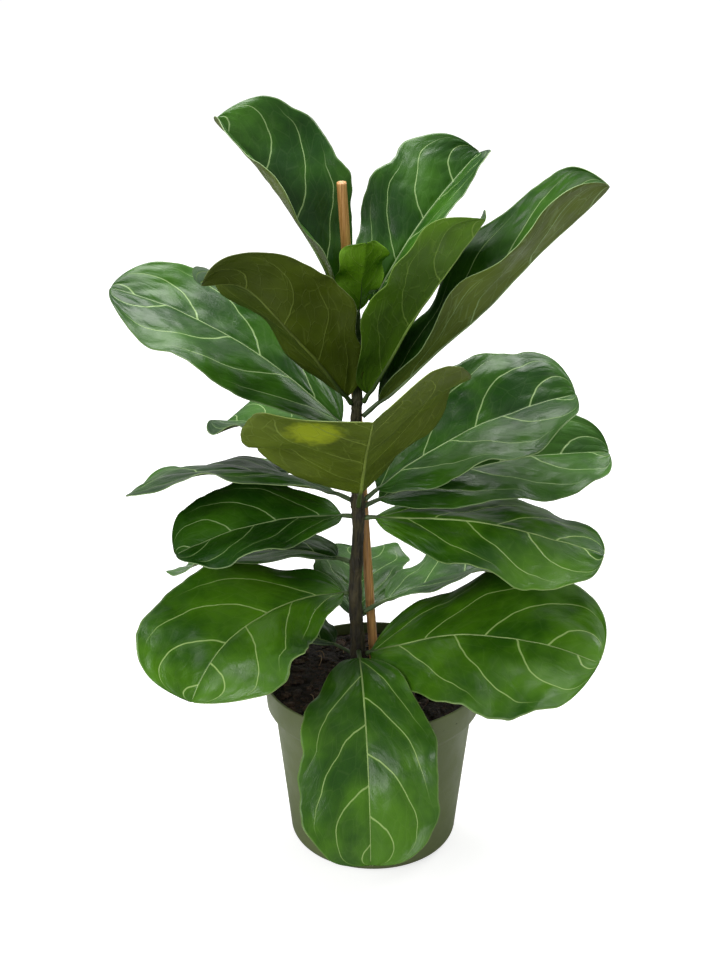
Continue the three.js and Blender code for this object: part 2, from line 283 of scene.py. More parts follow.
def hump(distance, spread):
    """1 at no distance, and falling smoothly to 0 on both sides of it."""
    return math.exp(-(distance / spread) ** 2)


def finished(name, mesh, materials, smooth=True):
    """A bmesh in metres becomes an object with its materials."""
    data = bpy.data.meshes.new(name)
    mesh.to_mesh(data)
    mesh.free()
    for material in materials:
        data.materials.append(material)
    data.polygons.foreach_set("use_smooth", [smooth] * len(data.polygons))
    piece = bpy.data.objects.new(name, data)
    bpy.context.scene.collection.objects.link(piece)
    return piece


def settle(piece):
    """Applies the piece's modifiers to its mesh."""
    bpy.context.view_layer.update()
    settled = bpy.data.meshes.new_from_object(
        piece.evaluated_get(bpy.context.evaluated_depsgraph_get()))
    before = piece.data
    piece.modifiers.clear()
    piece.data = settled
    bpy.data.meshes.remove(before)


def stand_for(piece, node):
    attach(piece, "root")
    if node:
        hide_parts(node)


def add_tube(mesh, sides, rings, place):
    """Adds a capped tube to a bmesh and returns its faces.

    place(share, angle) gives each point, in millimetres.
    """
    made = bmesh.ops.create_circle(mesh, cap_ends=True, segments=sides, radius=1)
    verts = set(made["verts"])
    top = made["verts"][0].link_faces[0]
    for ring in range(rings):
        grown = bmesh.ops.extrude_face_region(mesh, geom=[top])["geom"]
        new = [part for part in grown if isinstance(part, bmesh.types.BMVert)]
        bmesh.ops.translate(mesh, verts=new, vec=(0, 0, 1 / rings))
        verts.update(new)
        if ring:  # the first face stays, as the foot's cap, and the ones inside the tube go
            bmesh.ops.delete(mesh, geom=[top], context="FACES_ONLY")
        top = next(part for part in grown if isinstance(part, bmesh.types.BMFace))
    faces = {face for vert in verts for face in vert.link_faces}
    for vert in verts:
        share = min(1, max(0, vert.co.z))
        vert.co = place(share, math.atan2(vert.co.y, vert.co.x)) * MM
    bmesh.ops.recalc_face_normals(mesh, faces=list(faces))
    return faces


# ---- material tools ----

class Graph:
    """Adds nodes to a node tree, with sockets or plain values as their inputs."""

    def __init__(self, tree):
        self.tree = tree
        self.tree.nodes.clear()

    def feed(self, socket, value):
        if isinstance(value, bpy.types.NodeSocket):
            self.tree.links.new(value, socket)
        else:
            socket.default_value = value

    def node(self, kind, settings=None, **inputs):
        node = self.tree.nodes.new("ShaderNode" + kind)
        for key, value in (settings or {}).items():
            setattr(node, key, value)
        for key, value in inputs.items():
            self.feed(node.inputs[key.replace("_", " ")], value)
        return node

    def math(self, operation, *values):
        node = self.tree.nodes.new("ShaderNodeMath")
        node.operation = operation
        for socket, value in zip(node.inputs, values):
            self.feed(socket, value)
        return node.outputs[0]

    def scaled(self, vector, scale):
        """A pattern's coordinates, stretched by scale."""
        node = self.node("Mapping", Vector=vector)
        node.inputs["Scale"].default_value = scale
        return node.outputs[0]

    def noise(self, vector, scale, detail=3, roughness=0.55):
        return self.node("TexNoise", Vector=vector, Scale=scale, Detail=detail,
                         Roughness=roughness).outputs["Fac"]

    def cracks(self, vector, scale, randomness=0.9):
        return self.node("TexVoronoi", {"feature": "DISTANCE_TO_EDGE"}, Vector=vector,
                         Scale=scale, Randomness=randomness).outputs["Distance"]

    def ramp(self, value, low, high, out_low=0, out_high=1):
        node = self.node("MapRange", {"interpolation_type": "SMOOTHSTEP"}, Value=value)
        for key, number in (("From Min", low), ("From Max", high),
                            ("To Min", out_low), ("To Max", out_high)):
            self.feed(node.inputs[key], number)
        return node.outputs[0]

    def mix(self, factor, first, second):
        node = self.tree.nodes.new("ShaderNodeMix")
        node.data_type = "RGBA"
        self.feed(node.inputs["Factor"], factor)
        for socket, value in ((node.inputs[6], first), (node.inputs[7], second)):
            self.feed(socket, (*value, 1) if isinstance(value, tuple) else value)
        return node.outputs[2]

    def bump(self, height, strength, distance):
        return self.node("Bump", Height=height, Strength=strength,
                         Distance=distance).outputs[0]

    def object_place(self):
        return self.tree.nodes.new("ShaderNodeTexCoord").outputs["Object"]

    def uv_place(self):
        return self.tree.nodes.new("ShaderNodeUVMap").outputs[0]

    def surface(self, color, roughness, normal, **constants):
        shader = self.tree.nodes.new("ShaderNodeBsdfPrincipled")
        self.feed(shader.inputs["Base Color"], color)
        self.feed(shader.inputs["Roughness"], roughness)
        self.feed(shader.inputs["Normal"], normal)
        for key, value in constants.items():
            shader.inputs[key.replace("_", " ")].default_value = value
        output = self.tree.nodes.new("ShaderNodeOutputMaterial")
        self.tree.links.new(shader.outputs[0], output.inputs[0])
        return shader


def new_material(name):
    material = bpy.data.materials.new(name)
    material.use_nodes = True
    return material, Graph(material.node_tree)


def new_group(name, inputs, outputs):
    """A node group with float inputs and outputs, apart from one vector input, Place."""
    tree = bpy.data.node_groups.new(name, "ShaderNodeTree")
    tree.interface.new_socket("Place", in_out="INPUT", socket_type="NodeSocketVector")
    for key, value in inputs.items():
        socket = tree.interface.new_socket(key, in_out="INPUT", socket_type="NodeSocketFloat")
        socket.default_value = value
    for key in outputs:
        tree.interface.new_socket(key, in_out="OUTPUT", socket_type="NodeSocketFloat")
    graph = Graph(tree)
    entry = tree.nodes.new("NodeGroupInput")
    leave = tree.nodes.new("NodeGroupOutput")
    return graph, entry.outputs, leave.inputs


def use_group(graph, tree, place):
    node = graph.tree.nodes.new("ShaderNodeGroup")
    node.node_tree = tree
    graph.feed(node.inputs["Place"], place)
    return node.outputs


# ---- materials ----

def vein_group():
    """The leaf's veins on its own map: side veins, the net between them, and the cells' relief.

    The map runs from the left margin to the right one, and from the petiole to the apex.
    """
    graph, given, out = new_group(
        "leaf_veins",
        {"Spacing": VEIN_SPACING, "Slenderness": BLADE_SLENDERNESS},
        ["Side Veins", "Net", "Relief", "Margin", "Glow"])
    wobble = graph.noise(given["Place"], 5, 2)
    split = graph.node("SeparateXYZ", Vector=given["Place"]).outputs
    signed = graph.math("MULTIPLY_ADD", split["X"], 2, -1)
    across = graph.math("ABSOLUTE", signed)
    right = graph.math("GREATER_THAN", signed, 0)
    square = graph.math("MULTIPLY", across, across)
    lean = graph.math("MULTIPLY_ADD", square, VEIN_BEND, VEIN_LEAN)
    ahead = graph.math("MULTIPLY", across, lean)
    slope = graph.math("MULTIPLY_ADD", square, 3 * VEIN_BEND, VEIN_LEAN)
    slope = graph.math("MULTIPLY", slope, given["Slenderness"])
    narrow = graph.math("INVERSE_SQRT", graph.math("MULTIPLY_ADD", slope, slope, 1))
    along = graph.math("MULTIPLY_ADD", graph.math("SUBTRACT", wobble, 0.5), 0.035, split["Y"])
    start = graph.math("SUBTRACT", along, ahead)
    turns = graph.math("DIVIDE", start, given["Spacing"])
    turns = graph.math("MULTIPLY_ADD", right, 0.5, turns)
    from_vein = graph.math("PINGPONG", turns, 0.5)
    distance = graph.math("MULTIPLY", graph.math("MULTIPLY", from_vein, given["Spacing"]), narrow)
    width = graph.math("MULTIPLY_ADD", across, -0.0026, 0.0042)
    vein = graph.ramp(graph.math("DIVIDE", distance, width), 0.45, 1.25, 1, 0)
    begun = graph.math("MULTIPLY", graph.ramp(start, -0.05, -0.02),
                       graph.ramp(across, 0.66, 0.92, 1, 0))
    graph.feed(out["Side Veins"], graph.math("MULTIPLY", vein, begun))
    graph.feed(out["Glow"], graph.math("MULTIPLY", graph.ramp(distance, 0, 0.03, 1, 0), begun))

    even = graph.math("SUBTRACT", along, graph.math("MULTIPLY", across, 0.3))
    cells = graph.node("CombineXYZ", X=graph.math("MULTIPLY", even, 13),
                       Y=graph.math("MULTIPLY", signed, 4.6)).outputs[0]
    edge = graph.cracks(cells, 1, 0.85)
    graph.feed(out["Net"], graph.ramp(edge, 0.004, 0.04, 1, 0))
    fine = graph.cracks(cells, 4.5, 0.9)
    relief = graph.math("MULTIPLY_ADD", graph.ramp(edge, 0, 0.28), 0.6,
                        graph.math("MULTIPLY", graph.ramp(fine, 0, 0.2), 0.14))
    swell = graph.ramp(distance, 0, 0.05)
    relief = graph.math("MULTIPLY_ADD", swell, 0.5, graph.math("MULTIPLY", relief, 0.55))
    graph.feed(out["Relief"], relief)
    graph.feed(out["Margin"], graph.ramp(across, 0.972, 0.99))
    return graph.tree


LEAF_TONES = {
    # deep and light: the upper face's two greens. back: the underside. vein: the pale veins.
    "mature": {"deep": (0.007, 0.046, 0.001), "light": (0.036, 0.122, 0.005),
               "back": (0.112, 0.160, 0.014), "vein": (0.310, 0.450, 0.180)},
    "lush": {"deep": (0.017, 0.076, 0.002), "light": (0.072, 0.200, 0.006),
             "back": (0.090, 0.140, 0.024), "vein": (0.350, 0.510, 0.160)},
    "olive": {"deep": (0.010, 0.045, 0.002), "light": (0.032, 0.100, 0.004),
              "back": (0.100, 0.145, 0.006), "vein": (0.240, 0.320, 0.050)},
    # The darker copy of the greens below is painted shade, for a leaf that hangs in the shadow of
    # the others.
    "painted_shade": {"deep": (0.006, 0.036, 0.002), "light": (0.026, 0.092, 0.006),
              "back": (0.066, 0.098, 0.003), "vein": (0.150, 0.200, 0.028)},
    "fresh": {"deep": (0.012, 0.060, 0.002), "light": (0.040, 0.130, 0.004),
              "back": (0.080, 0.180, 0.005), "vein": (0.220, 0.350, 0.060)},
    "young": {"deep": (0.055, 0.190, 0.003), "light": (0.130, 0.320, 0.006),
              "back": (0.140, 0.310, 0.006), "vein": (0.240, 0.400, 0.050)},
}


def upper_material(tone, veins):
    colours = LEAF_TONES[tone]
    material, graph = new_material("leaf_upper_" + tone)
    found = use_group(graph, veins, graph.uv_place())
    place = graph.object_place()
    patches = graph.ramp(graph.noise(place, 14, 4), 0.35, 0.68)
    green = graph.mix(patches, colours["deep"], colours["light"])
    green = graph.mix(graph.math("MULTIPLY", found["Glow"], 0.3), green, colours["light"])
    green = graph.mix(graph.math("MULTIPLY", found["Net"], 0.035), green, colours["vein"])
    green = graph.mix(graph.math("MULTIPLY", found["Side Veins"], 0.85), green, colours["vein"])
    green = graph.mix(graph.math("MULTIPLY", found["Margin"], 0.25), green, colours["vein"])
    wax = graph.noise(place, 40, 4)
    roughness = graph.ramp(wax, 0.3, 0.75, 0.28, 0.44)
    grain = graph.math("MULTIPLY_ADD", graph.noise(place, 900, 2), 0.08, found["Relief"])
    height = graph.math("MULTIPLY_ADD", found["Side Veins"], -0.35, grain)
    graph.surface(green, roughness, graph.bump(height, 0.5, 0.0010), Specular_IOR_Level=0.3)
    return material


def painted_backlight_patch(graph):
    """A mask on the right half of the blade, where light shining through it is painted on as a
    yellow patch.
    """
    place = graph.node("Mapping", Vector=graph.uv_place())
    place.inputs["Location"].default_value = (-BACKLIT_PATCH_ACROSS, -BACKLIT_PATCH_ALONG, 0)
    split = graph.node("SeparateXYZ", Vector=place.outputs[0]).outputs
    wide = graph.math("MULTIPLY", split["X"], 1.2)
    reach = graph.math("MULTIPLY_ADD", split["Y"], split["Y"], graph.math("MULTIPLY", wide, wide))
    ragged = graph.math("SUBTRACT", graph.noise(graph.object_place(), 120, 4), 0.5)
    reach = graph.math("MULTIPLY_ADD", ragged, 0.12, graph.math("SQRT", reach))
    return graph.ramp(reach, 0.07, 0.17, 0.8, 0)


def under_material(tone, veins):
    colours = LEAF_TONES[tone]
    material, graph = new_material("leaf_under_" + tone)
    found = use_group(graph, veins, graph.uv_place())
    place = graph.object_place()
    patches = graph.ramp(graph.noise(place, 18, 4), 0.3, 0.7)
    darker = tuple(channel * 0.62 for channel in colours["back"])
    green = graph.mix(patches, darker, colours["back"])
    if tone == "olive":
        # Painted light: the yellow patch stands for light shining through the leaf from behind.
        green = graph.mix(painted_backlight_patch(graph), green, (0.33, 0.40, 0.010))
    green = graph.mix(graph.math("MULTIPLY", found["Net"], 0.18), green, colours["vein"])
    green = graph.mix(graph.math("MULTIPLY", found["Side Veins"], 0.7), green, colours["vein"])
    roughness = graph.ramp(graph.noise(place, 60, 3), 0.3, 0.7, 0.5, 0.66)
    height = graph.math("MULTIPLY_ADD", found["Side Veins"], 1.2,
                        graph.math("MULTIPLY", found["Net"], 0.4))
    height = graph.math("MULTIPLY_ADD", graph.noise(place, 800, 2), 0.12, height)
    graph.surface(green, roughness, graph.bump(height, 0.6, 0.001), Specular_IOR_Level=0.25)
    return material


def rib_material(tone):
    """The petiole, midrib and the margin's thin pale edge, with painted shade darkening them close
    to the stem.
    """
    colours = LEAF_TONES[tone]
    material, graph = new_material("leaf_rib_" + tone)
    place = graph.object_place()
    fibres = graph.noise(place, 260, 3)
    darker = tuple(channel * 0.6 for channel in colours["vein"])
    green = graph.mix(graph.ramp(graph.noise(place, 45, 3), 0.3, 0.7), darker, colours["vein"])
    split = graph.node("SeparateXYZ", Vector=place).outputs
    from_stem = graph.math("ADD", split["X"], -STEM_X * MM)
    from_stem = graph.math("MULTIPLY_ADD", split["Y"], split["Y"],
                           graph.math("MULTIPLY", from_stem, from_stem))
    # Painted shade: within a few centimetres of the stem the ribs darken, where the leaves shade
    # them.
    painted_stem_shade = graph.ramp(graph.math("SQRT", from_stem), 0.018, 0.05, 0.85, 0)
    green = graph.mix(painted_stem_shade, green, (0.020, 0.045, 0.008))
    roughness = graph.ramp(fibres, 0.3, 0.7, 0.42, 0.6)
    graph.surface(green, roughness, graph.bump(fibres, 0.3, 0.0004))
    return material


def pot_material():
    material, graph = new_material("pot_olive_plastic")
    place = graph.object_place()
    clouds = graph.ramp(graph.noise(place, 7, 4), 0.3, 0.7)
    olive = graph.mix(clouds, (0.112, 0.142, 0.048), (0.134, 0.168, 0.060))
    dust = graph.ramp(graph.noise(place, 38, 6, 0.7), 0.56, 0.78)
    olive = graph.mix(graph.math("MULTIPLY", dust, 0.12), olive, (0.20, 0.21, 0.13))
    streaks = graph.noise(graph.scaled(place, (30, 30, 2.5)), 4, 4)
    olive = graph.mix(graph.math("MULTIPLY", graph.ramp(streaks, 0.55, 0.75), 0.12), olive,
                      (0.105, 0.130, 0.052))
    speckle = graph.noise(place, 1500, 2)
    scuffs = graph.ramp(graph.cracks(graph.scaled(place, (14, 14, 55)), 1.5), 0, 0.012, 1, 0)
    roughness = graph.ramp(graph.noise(place, 55, 5), 0.3, 0.75, 0.46, 0.62)
    height = graph.math("MULTIPLY_ADD", scuffs, -0.12, graph.math("MULTIPLY", speckle, 0.5))
    graph.surface(olive, roughness, graph.bump(height, 0.35, 0.0004), Specular_IOR_Level=0.4)
    return material


def soil_material():
    material, graph = new_material("potting_soil")
    place = graph.object_place()
    crumbs = graph.node("TexVoronoi", Vector=place, Scale=380).outputs
    shade = graph.node("SeparateColor", Color=crumbs["Color"]).outputs[0]
    brown = graph.mix(graph.ramp(shade, 0.2, 0.9), (0.010, 0.006, 0.004), (0.048, 0.028, 0.016))
    damp = graph.ramp(graph.noise(place, 30, 4), 0.4, 0.62)
    brown = graph.mix(damp, brown, (0.014, 0.009, 0.006))
    speck = graph.ramp(graph.noise(place, 620, 2), 0.66, 0.73)
    brown = graph.mix(graph.math("MULTIPLY", speck, 0.6), brown, (0.21, 0.14, 0.085))
    roughness = graph.ramp(shade, 0, 1, 0.78, 0.98)
    height = graph.math("MULTIPLY_ADD", crumbs["Distance"], -1, graph.noise(place, 1300, 3))
    graph.surface(brown, roughness, graph.bump(height, 0.9, 0.0015))
    return material


def bark_chip_material():
    material, graph = new_material("bark_chips")
    place = graph.object_place()
    cell = graph.node("TexVoronoi", Vector=place, Scale=95).outputs["Color"]
    shade = graph.node("SeparateColor", Color=cell).outputs[0]
    brown = graph.mix(graph.ramp(shade, 0.1, 0.95), (0.016, 0.010, 0.006), (0.095, 0.052, 0.028))
    grain = graph.noise(graph.scaled(place, (1, 1, 3.5)), 420, 4)
    brown = graph.mix(graph.ramp(grain, 0.4, 0.7), brown, (0.030, 0.017, 0.010))
    roughness = graph.ramp(grain, 0.3, 0.7, 0.68, 0.92)
    graph.surface(brown, roughness, graph.bump(grain, 0.8, 0.0009))
    return material


def fibre_material():
    material, graph = new_material("coir_fibres")
    place = graph.object_place()
    grain = graph.noise(place, 700, 3)
    tan = graph.mix(graph.ramp(grain, 0.3, 0.7), (0.16, 0.10, 0.05), (0.36, 0.25, 0.14))
    graph.surface(tan, graph.ramp(grain, 0.3, 0.7, 0.6, 0.85), graph.bump(grain, 0.5, 0.0003))
    return material


def stem_material():
    material, graph = new_material("stem_bark")
    place = graph.object_place()
    height = graph.node("SeparateXYZ", Vector=place).outputs["Z"]
    young = graph.ramp(height, 0.42, 0.56)
    plates = graph.noise(graph.scaled(place, (1, 1, 0.28)), 190, 5, 0.65)
    # The bark's browns are real bark kept darker with painted shade from the leaves above the
    # stem.
    bark = graph.mix(graph.ramp(plates, 0.36, 0.66), (0.014, 0.010, 0.004), (0.062, 0.050, 0.020))
    lichen = graph.ramp(graph.noise(place, 70, 4), 0.58, 0.72)
    bark = graph.mix(graph.math("MULTIPLY", lichen, 0.35), bark, (0.050, 0.050, 0.022))
    bark = graph.mix(graph.math("MULTIPLY", young, 0.75), bark, (0.045, 0.085, 0.015))
    furrows = graph.cracks(graph.scaled(place, (1, 1, 0.22)), 260)
    relief = graph.math("MULTIPLY_ADD", graph.ramp(furrows, 0, 0.25), 0.8, plates)
    roughness = graph.ramp(plates, 0.3, 0.7, 0.62, 0.9)
    graph.surface(bark, roughness, graph.bump(relief, 0.75, 0.0012))
    return material


def cane_material():
    material, graph = new_material("bamboo_cane")
    place = graph.object_place()
    fibres = graph.noise(graph.scaled(place, (1, 1, 0.03)), 800, 4)
    tan = graph.mix(graph.ramp(fibres, 0.35, 0.68), (0.40, 0.180, 0.050), (0.68, 0.370, 0.130))
    stains = graph.ramp(graph.noise(graph.scaled(place, (1, 1, 0.35)), 48, 4), 0.55, 0.76)
    tan = graph.mix(graph.math("MULTIPLY", stains, 0.45), tan, (0.22, 0.082, 0.022))
    roughness = graph.ramp(fibres, 0.3, 0.7, 0.34, 0.5)
    graph.surface(tan, roughness, graph.bump(fibres, 0.4, 0.0005))
    return material


def floor_material():
    """Pale paper that glows a little to the camera, so that shadows on it stay faint."""
    material, graph = new_material("pale_floor")
    place = graph.object_place()
    grain = graph.noise(place, 3, 4)
    white = graph.mix(graph.ramp(grain, 0.3, 0.7), (0.60, 0.60, 0.60), (0.62, 0.62, 0.62))
    shader = graph.surface(white, graph.ramp(grain, 0.3, 0.7, 0.7, 0.8),
                           graph.bump(grain, 0.05, 0.001), Specular_IOR_Level=0.1,
                           Emission_Color=(1, 1, 1, 1))
    seen = graph.node("LightPath").outputs["Is Camera Ray"]
    graph.feed(shader.inputs["Emission Strength"], graph.math("MULTIPLY", seen, PALE_GLOW))
    return material


# ---- pot ----

def arc(centre_x, centre_z, radius, start, end, steps):
    points = []
    for step in range(steps + 1):
        angle = math.radians(lerp(start, end, step / steps))
        points.append((centre_x + radius * math.cos(angle), centre_z + radius * math.sin(angle)))
    return points


def pot_profile():
    """The pot's section from the middle of its base, up its outside, over the rim and down."""
    collar_bottom = POT_HEIGHT - COLLAR_HEIGHT
    collar_foot = collar_bottom + COLLAR_STEP
    collar_radius = RIM_RADIUS - COLLAR_TAPER
    wall_top = collar_radius - COLLAR_STEP
    corner = BASE_RADIUS - BASE_ROUNDING
    middle_radius = lerp(BASE_RADIUS, wall_top, 0.5)
    middle_height = lerp(BASE_ROUNDING, collar_bottom, 0.5)
    return [
        (AXIS_GAP, 0),
        *arc(corner, BASE_ROUNDING, BASE_ROUNDING, -90, 0, 10),
        (middle_radius, middle_height),
        (wall_top, collar_bottom - 1.5),
        (wall_top + 0.6, collar_bottom + 0.3),
        (collar_radius - 1.2, collar_foot - 1.2),
        (collar_radius - 0.2, collar_foot + 0.6),
        *arc(RIM_RADIUS - RIM_ROUNDING, POT_HEIGHT - RIM_ROUNDING, RIM_ROUNDING, 0, 180, 8),
        (collar_radius - POT_WALL, collar_foot + POT_WALL + 1),
        (wall_top - POT_WALL, collar_bottom + POT_WALL),
        (middle_radius - POT_WALL, middle_height),
        *arc(corner, BASE_ROUNDING, BASE_ROUNDING - POT_WALL, 0, -90, 8),
        (AXIS_GAP, POT_WALL),
    ]


def make_pot():
    mesh = bmesh.new()
    verts = [mesh.verts.new((x * MM, 0, z * MM)) for x, z in pot_profile()]
    edges = [mesh.edges.new(pair) for pair in zip(verts, verts[1:])]
    bmesh.ops.spin(mesh, geom=verts + edges, cent=(0, 0, 0), axis=(0, 0, 1),
                   angle=2 * math.pi, steps=POT_SEGMENTS, use_merge=True)
    bmesh.ops.remove_doubles(mesh, verts=mesh.verts, dist=2 * AXIS_GAP * MM)
    bmesh.ops.recalc_face_normals(mesh, faces=mesh.faces)
    pot = finished("nursery_pot", mesh, [pot_material()])

    drill = bmesh.new()
    for hole in range(DRAIN_HOLES):
        angle = 2 * math.pi * hole / DRAIN_HOLES
        place = Matrix.Translation((DRAIN_RING_RADIUS * MM * math.cos(angle),
                                    DRAIN_RING_RADIUS * MM * math.sin(angle), 0))
        bmesh.ops.create_cone(drill, cap_ends=True, segments=32, radius1=DRAIN_HOLE_RADIUS * MM,
                              radius2=DRAIN_HOLE_RADIUS * MM, depth=4 * POT_WALL * MM,
                              matrix=place)
    cutter = finished("drill", drill, [])
    cut = pot.modifiers.new("drain_holes", "BOOLEAN")
    cut.object = cutter
    cut.solver = "EXACT"
    settle(pot)
    bpy.data.objects.remove(cutter)
    for face in pot.data.polygons:
        face.use_smooth = True
    pot.data.set_sharp_from_angle(angle=math.radians(38))
    stand_for(pot, "pot")


# ---- soil ----

def soil_height(x, y):
    reach = math.hypot(x, y) / CRUST_RADIUS
    clods = noise.fractal(Vector((x, y, 0)) / 24, 0.9, 2.1, 3)
    crumbs = noise.noise(Vector((x, y, 40)) / 5.5)
    grit = noise.noise(Vector((x, y, 90)) / 2.2)
    by_wall = smoothstep(reach, 0.9, 1.0)
    return (SOIL_TOP + SOIL_MOUND * (1 - reach * reach) + CRUST_LIFT + CLOD_HEIGHT * clods
            + CRUMB_HEIGHT * crumbs + GRIT_HEIGHT * grit - DIP_BY_WALL * by_wall)


def make_soil(material):
    mesh = bmesh.new()
    bmesh.ops.create_grid(mesh, x_segments=CRUST_ROWS, y_segments=CRUST_ROWS, size=1)
    for vert in mesh.verts:
        reach = math.hypot(vert.co.x, vert.co.y)
        square = max(abs(vert.co.x), abs(vert.co.y))
        spread = CRUST_RADIUS * (square / reach if reach else 1)
        x, y = vert.co.x * spread, vert.co.y * spread
        vert.co = Vector((x, y, soil_height(x, y))) * MM
    crust = finished("soil_crust", mesh, [material])
    thickness = crust.modifiers.new("depth", "SOLIDIFY")
    thickness.thickness = CRUST_DEPTH * MM
    thickness.offset = -1
    stand_for(crust, None)


def scatter_spot(margin):
    """A random place on the soil, clear of the stem and a margin in from the pot's wall."""
    while True:
        x = random.uniform(-CRUST_RADIUS, CRUST_RADIUS)
        y = random.uniform(-CRUST_RADIUS, CRUST_RADIUS)
        from_stem = math.hypot(x - STEM_X, y)
        if math.hypot(x, y) < CRUST_RADIUS - margin and from_stem > STEM_CLEARANCE:
            return x, y


def make_bark_chips():
    mesh = bmesh.new()
    for _ in range(BARK_CHIPS):
        x, y = scatter_spot(CHIP_MARGIN)
        length = random.choice(CHIP_SIZES)
        size = Matrix.Diagonal((length, length * random.uniform(0.45, 0.8),
                                length * random.uniform(0.25, 0.5), 1))
        turn = Matrix.Rotation(random.uniform(0, math.tau), 4, "Z")
        tilt = Matrix.Rotation(random.gauss(0, 0.45), 4, "X")
        lift = soil_height(x, y) + length * 0.12
        made = bmesh.ops.create_icosphere(
            mesh, subdivisions=2, radius=1,
            matrix=Matrix.Translation((x, y, lift)) @ turn @ tilt @ size)
        for vert in made["verts"]:
            jitter = Vector([random.uniform(-1, 1) for _ in range(3)]) * length * 0.11
            vert.co = (vert.co + jitter) * MM
    chips = finished("bark_chips", mesh, [bark_chip_material()], smooth=False)
    stand_for(chips, None)


def make_fibres():
    mesh = bmesh.new()
    for _ in range(FIBRES):
        x, y = scatter_spot(FIBRE_MARGIN)
        heading = random.uniform(0, math.tau)
        length = random.uniform(*FIBRE_LENGTHS)
        bend = random.uniform(-0.9, 0.9)

        def place(share, angle):
            turned = heading + bend * share
            middle_x = x + length * (share - 0.5) * math.cos(turned)
            middle_y = y + length * (share - 0.5) * math.sin(turned)
            lift = SOIL_TOP + FIBRE_LIFT + FIBRE_ARCH * math.sin(math.pi * share)
            return Vector((middle_x - FIBRE_RADIUS * math.sin(turned) * math.cos(angle),
                           middle_y + FIBRE_RADIUS * math.cos(turned) * math.cos(angle),
                           lift + FIBRE_RADIUS * math.sin(angle)))

        add_tube(mesh, sides=6, rings=12, place=place)
    fibres = finished("coir_fibres", mesh, [fibre_material()])
    stand_for(fibres, None)


# ---- stem and cane ----

def stem_at(height):
    angle = math.tau * height / STEM_SWAY_PITCH
    return Vector((STEM_X + STEM_SWAY * math.sin(angle), STEM_SWAY * math.cos(angle), height))


def stem_radius_at(height):
    return lerp(STEM_FOOT_RADIUS, STEM_TOP_RADIUS, (height - STEM_FOOT) / (STEM_TOP - STEM_FOOT))


def make_stem():
    """The stem swells a little where each leaf joins, with a thin ring scar under it."""
    nodes = [leaf["height"] for leaf in LEAVES.values()]

    def place(share, angle):
        height = lerp(STEM_FOOT, STEM_TOP, share)
        radius = stem_radius_at(height)
        for node in nodes:
            radius += JOINT_SWELL * hump(height - node, JOINT_SPREAD)
            radius += SCAR_SWELL * hump(height - node + SCAR_DROP, SCAR_SPREAD)
        spot = Vector((math.cos(angle) * 2, math.sin(angle) * 2, height / 9))
        radius += BARK_UNEVENNESS * noise.noise(spot)
        radius *= math.sqrt(max(0.04, 1 - smoothstep(height, STEM_TOP - STEM_TIP, STEM_TOP)))
        return stem_at(height) + Vector((math.cos(angle), math.sin(angle), 0)) * radius

    mesh = bmesh.new()
    add_tube(mesh, sides=24, rings=420, place=place)
    stem = finished("woody_stem", mesh, [stem_material()])
    stand_for(stem, "stem")


def make_cane():
    """The cane has a low ring at each of its own nodes and a shallow hollow in its cut top."""
    run = CANE_TOP - CANE_FOOT
    turn = run.to_track_quat("Z", "Y")

    def place(share, angle):
        radius = CANE_RADIUS - 0.1
        for node in CANE_NODES:
            gap = (share - node) * run.length
            groove = hump(gap + CANE_GROOVE_DROP, CANE_GROOVE_SPREAD)
            radius += CANE_RING * hump(gap, CANE_RING_SPREAD) - CANE_GROOVE * groove
        radius -= 0.35 * smoothstep(share, 0.9985, 1.0)
        radius += 0.12 * noise.noise(Vector((math.cos(angle), math.sin(angle), share * 20)))
        out = turn @ Vector((math.cos(angle), math.sin(angle), 0))
        return CANE_FOOT + run * share + out * radius

    mesh = bmesh.new()
    faces = add_tube(mesh, sides=24, rings=400, place=place)
    caps = [face for face in faces if len(face.verts) > 4]
    top = max(caps, key=lambda face: face.calc_center_median().z)
    bmesh.ops.inset_region(mesh, faces=[top], thickness=CANE_WALL * MM, depth=0)
    bmesh.ops.translate(mesh, verts=top.verts, vec=(0, 0, -CANE_HOLLOW * MM))
    cane = finished("bamboo_cane", mesh, [cane_material()])
    stand_for(cane, "cane")


# ---- leaves ----

def leaf_direction(leaf, share):
    """Rise and heading, in radians, at a share of the whole run of petiole and midrib."""
    along = (share * (leaf["petiole"] + leaf["length"]) - leaf["petiole"]) / leaf["length"]
    rise = lerp(leaf["rise"], leaf["end"], share) + leaf["curl"] * smoothstep(along, CURL_FROM, 1)
    return math.radians(rise), math.radians(leaf["heading"] + leaf["sweep"] * share)


def leaf_spine(leaf):
    step = (leaf["petiole"] + leaf["length"]) / SPINE_STEPS
    heading = math.radians(leaf["heading"])
    reach = (stem_radius_at(leaf["height"]) + GAP
             + PETIOLE_RADIUS * math.sin(math.radians(abs(leaf["rise"]))))
    point = stem_at(leaf["height"]) + Vector((math.cos(heading), math.sin(heading), 0)) * reach
    points = [point]
    for index in range(SPINE_STEPS):
        rise, heading = leaf_direction(leaf, (index + 0.5) / SPINE_STEPS)
        flat = math.cos(rise)
        point = point + Vector((flat * math.cos(heading), flat * math.sin(heading),
                                math.sin(rise))) * step
        points.append(point)
    return points


def leaf_frame(leaf, spine, share):
    """The spine's point there, and the directions right across the blade and up from it."""
    place = min(1, max(0, share)) * SPINE_STEPS
    before = min(int(place), SPINE_STEPS - 1)
    origin = spine[before].lerp(spine[before + 1], place - before)
    rise, heading = leaf_direction(leaf, share)
    flat = math.cos(rise)
    out = Vector((flat * math.cos(heading), flat * math.sin(heading), math.sin(rise)))
    level = Vector((math.sin(heading), -math.cos(heading), 0))
    roll = Matrix.Rotation(-math.radians(leaf["roll"]), 3, out)
    return origin, roll @ level, roll @ level.cross(out)


